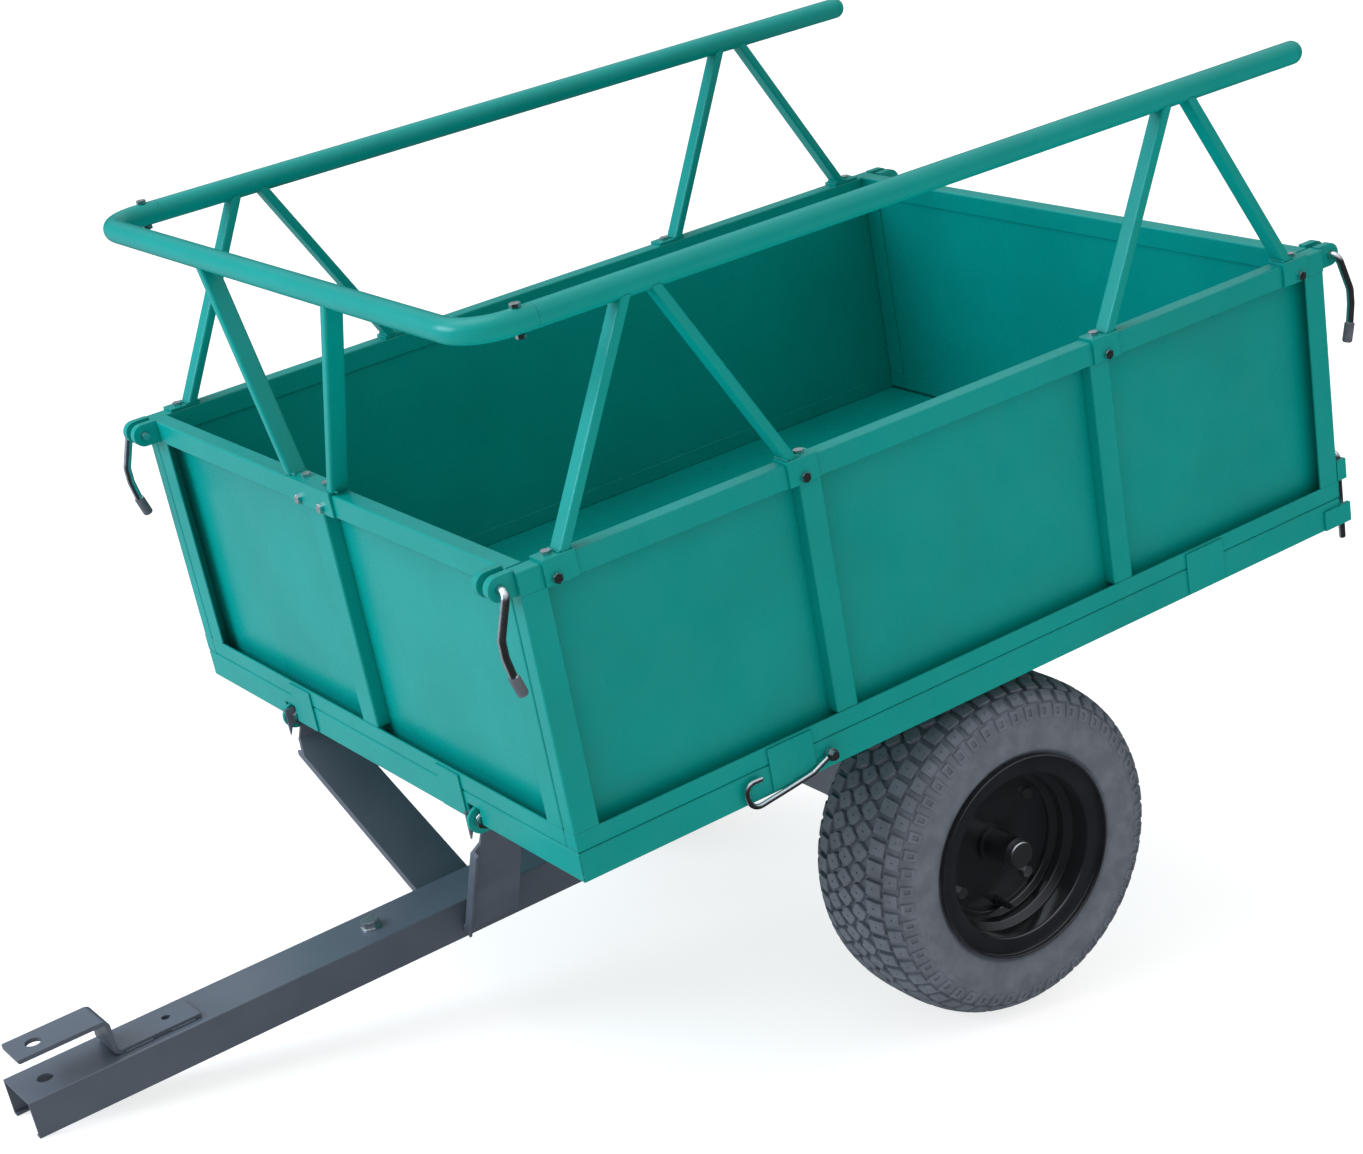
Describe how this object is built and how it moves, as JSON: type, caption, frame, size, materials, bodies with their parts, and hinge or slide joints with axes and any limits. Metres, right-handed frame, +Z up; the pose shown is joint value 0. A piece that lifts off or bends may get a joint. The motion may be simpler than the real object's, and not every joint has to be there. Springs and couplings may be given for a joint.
{
  "type": "tow behind cart",
  "caption": "Two-wheeled tow-behind garden cart with a tipping steel bed, swinging tailgate, tube rack and drawbar hitch.",
  "frame": {"origin": "centre of the bounding box's bottom, on the floor that the tyres and the drawbar's tip stand on", "axes": "-Y towards the drawbar's tip, +X to the cart's left, +Z up"},
  "size_m": [0.896, 1.552, 1.0857],
  "materials": {
    "green_paint": "gloss green powder coat on steel",
    "graphite_paint": "satin graphite powder coat on steel",
    "black_enamel": "gloss black enamel on pressed steel",
    "zinc_steel": "bright zinc plate",
    "tyre_rubber": "moulded tyre rubber",
    "valve_rubber": "black rubber"
  },
  "bodies": {
    "chassis": {"axle": "zinc_steel", "axle_beam": "graphite_paint", "axle_spacers": "zinc_steel", "axle_caps": "zinc_steel", "drawbar_front": "graphite_paint", "drawbar_rear": "graphite_paint", "hitch_plate": "graphite_paint", "drawbar_bolts": "zinc_steel", "support_arms": "graphite_paint"},
    "tailgate": {"tailgate_frame": "green_paint", "tailgate_sheet": "green_paint", "tailgate_lugs": "green_paint", "drop_pin_guides": "green_paint", "guide_bolts": "zinc_steel"},
    "wheel_left": {"tyre_left": "tyre_rubber", "rim_outer_half_left": "black_enamel", "rim_inner_half_left": "black_enamel", "wheel_hub_left": "black_enamel", "rim_bolts_left": "zinc_steel", "tyre_valve_left": "valve_rubber"},
    "front_pull_left": {"front_pin_left": "zinc_steel"},
    "rear_pull_left": {"rear_pin_left": "zinc_steel"},
    "drop_left": {"drop_pin_left": "zinc_steel"},
    "hook_left": {"side_hook_left": "zinc_steel"},
    "wheel_right": {"tyre_right": "tyre_rubber", "rim_outer_half_right": "black_enamel", "rim_inner_half_right": "black_enamel", "wheel_hub_right": "black_enamel", "rim_bolts_right": "zinc_steel", "tyre_valve_right": "valve_rubber"},
    "front_pull_right": {"front_pin_right": "zinc_steel"},
    "rear_pull_right": {"rear_pin_right": "zinc_steel"},
    "drop_right": {"drop_pin_right": "zinc_steel"},
    "hook_right": {"side_hook_right": "zinc_steel"},
    "bed": {"base_side_rails": "green_paint", "base_end_rails": "green_paint", "floor_sheet": "green_paint", "floor_cross_members": "green_paint", "pivot_brackets": "graphite_paint", "side_frame_left": "green_paint", "side_frame_right": "green_paint", "side_sheet_left": "green_paint", "side_sheet_right": "green_paint", "front_frame": "green_paint", "front_sheet": "green_paint", "panel_tabs": "green_paint", "corner_lugs": "green_paint", "drop_pin_forks": "green_paint", "hook_bolts": "zinc_steel", "rack_bow": "green_paint", "rack_rail_left": "green_paint", "rack_rail_right": "green_paint", "rack_end_caps": "green_paint", "rack_spigots": "green_paint", "rack_struts": "green_paint", "foot_plates": "green_paint", "rack_bolts": "zinc_steel", "lock_lugs": "green_paint", "lock_bolts": "zinc_steel"}
  },
  "joints": [
    {"name": "bed_tip", "type": "hinge", "parent": "chassis", "child": "bed", "pos_m": [0, 0.26409, 0.2032], "axis": [-1, 0, 0], "range_deg": [0, 45]},
    {"name": "tailgate_swing", "type": "hinge", "parent": "bed", "child": "tailgate", "pos_m": [0, 0.71728, 0.84331], "axis": [1, 0, 0], "range_deg": [0, 70]},
    {"name": "wheel_left_spin", "type": "hinge", "parent": "chassis", "child": "wheel_left", "pos_m": [0.362, 0.26409, 0.2032], "axis": [1, 0, 0], "continuous": true},
    {"name": "front_pull_left_slide", "type": "slide", "parent": "bed", "child": "front_pull_left", "axis": [1, 0, 0], "range_m": [0, 0.06]},
    {"name": "rear_pull_left_slide", "type": "slide", "parent": "bed", "child": "rear_pull_left", "axis": [1, 0, 0], "range_m": [0, 0.06]},
    {"name": "drop_left_lift", "type": "slide", "parent": "tailgate", "child": "drop_left", "axis": [0, -0.1854, 0.9827], "range_m": [0, 0.05]},
    {"name": "hook_left_swing", "type": "hinge", "parent": "bed", "child": "hook_left", "pos_m": [0.4408, -0.01396, 0.38786], "axis": [1, 0, 0], "range_deg": [0, 80]},
    {"name": "wheel_right_spin", "type": "hinge", "parent": "chassis", "child": "wheel_right", "pos_m": [-0.362, 0.26409, 0.2032], "axis": [1, 0, 0], "continuous": true},
    {"name": "front_pull_right_slide", "type": "slide", "parent": "bed", "child": "front_pull_right", "axis": [-1, 0, 0], "range_m": [0, 0.06]},
    {"name": "rear_pull_right_slide", "type": "slide", "parent": "bed", "child": "rear_pull_right", "axis": [-1, 0, 0], "range_m": [0, 0.06]},
    {"name": "drop_right_lift", "type": "slide", "parent": "tailgate", "child": "drop_right", "axis": [0, -0.1854, 0.9827], "range_m": [0, 0.05]},
    {"name": "hook_right_swing", "type": "hinge", "parent": "bed", "child": "hook_right", "pos_m": [-0.4408, -0.01396, 0.38786], "axis": [1, 0, 0], "range_deg": [0, 80]}
  ]
}
